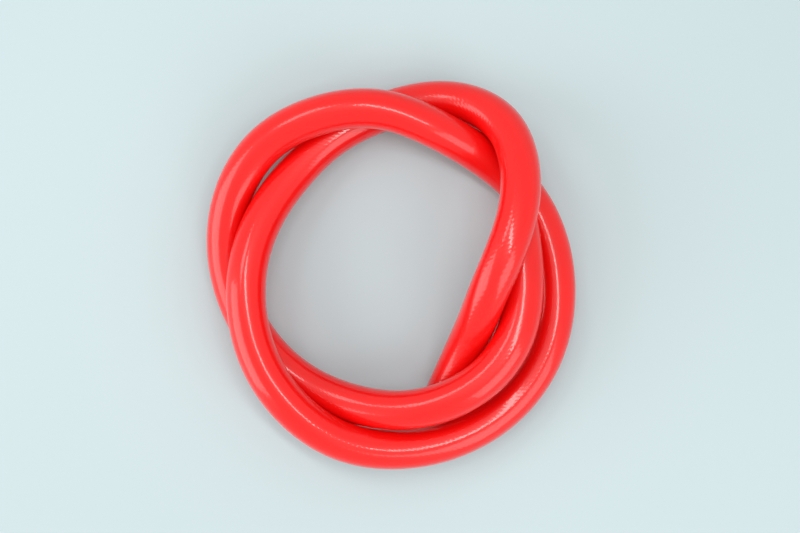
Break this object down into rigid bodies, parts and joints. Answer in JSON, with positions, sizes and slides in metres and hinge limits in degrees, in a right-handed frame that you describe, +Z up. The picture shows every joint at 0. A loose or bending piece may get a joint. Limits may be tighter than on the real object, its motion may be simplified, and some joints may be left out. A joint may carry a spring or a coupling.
{
  "type": "silicone vacuum hose",
  "caption": "Thick-walled red silicone rubber hose for vacuum lines, plain and open at both square-cut ends, lying in the loose coil it springs into.",
  "frame": {"origin": "on the floor under the middle of the coil's box", "axes": "+Z up from the floor the coil lies on, +X to the picture's right, +Y to the picture's top"},
  "size_m": [0.152, 0.1586, 0.047],
  "materials": {
    "silicone": "glossy red silicone rubber with a faint woven ripple"
  },
  "bodies": {
    "root": {"hose": "silicone"}
  },
  "joints": []
}
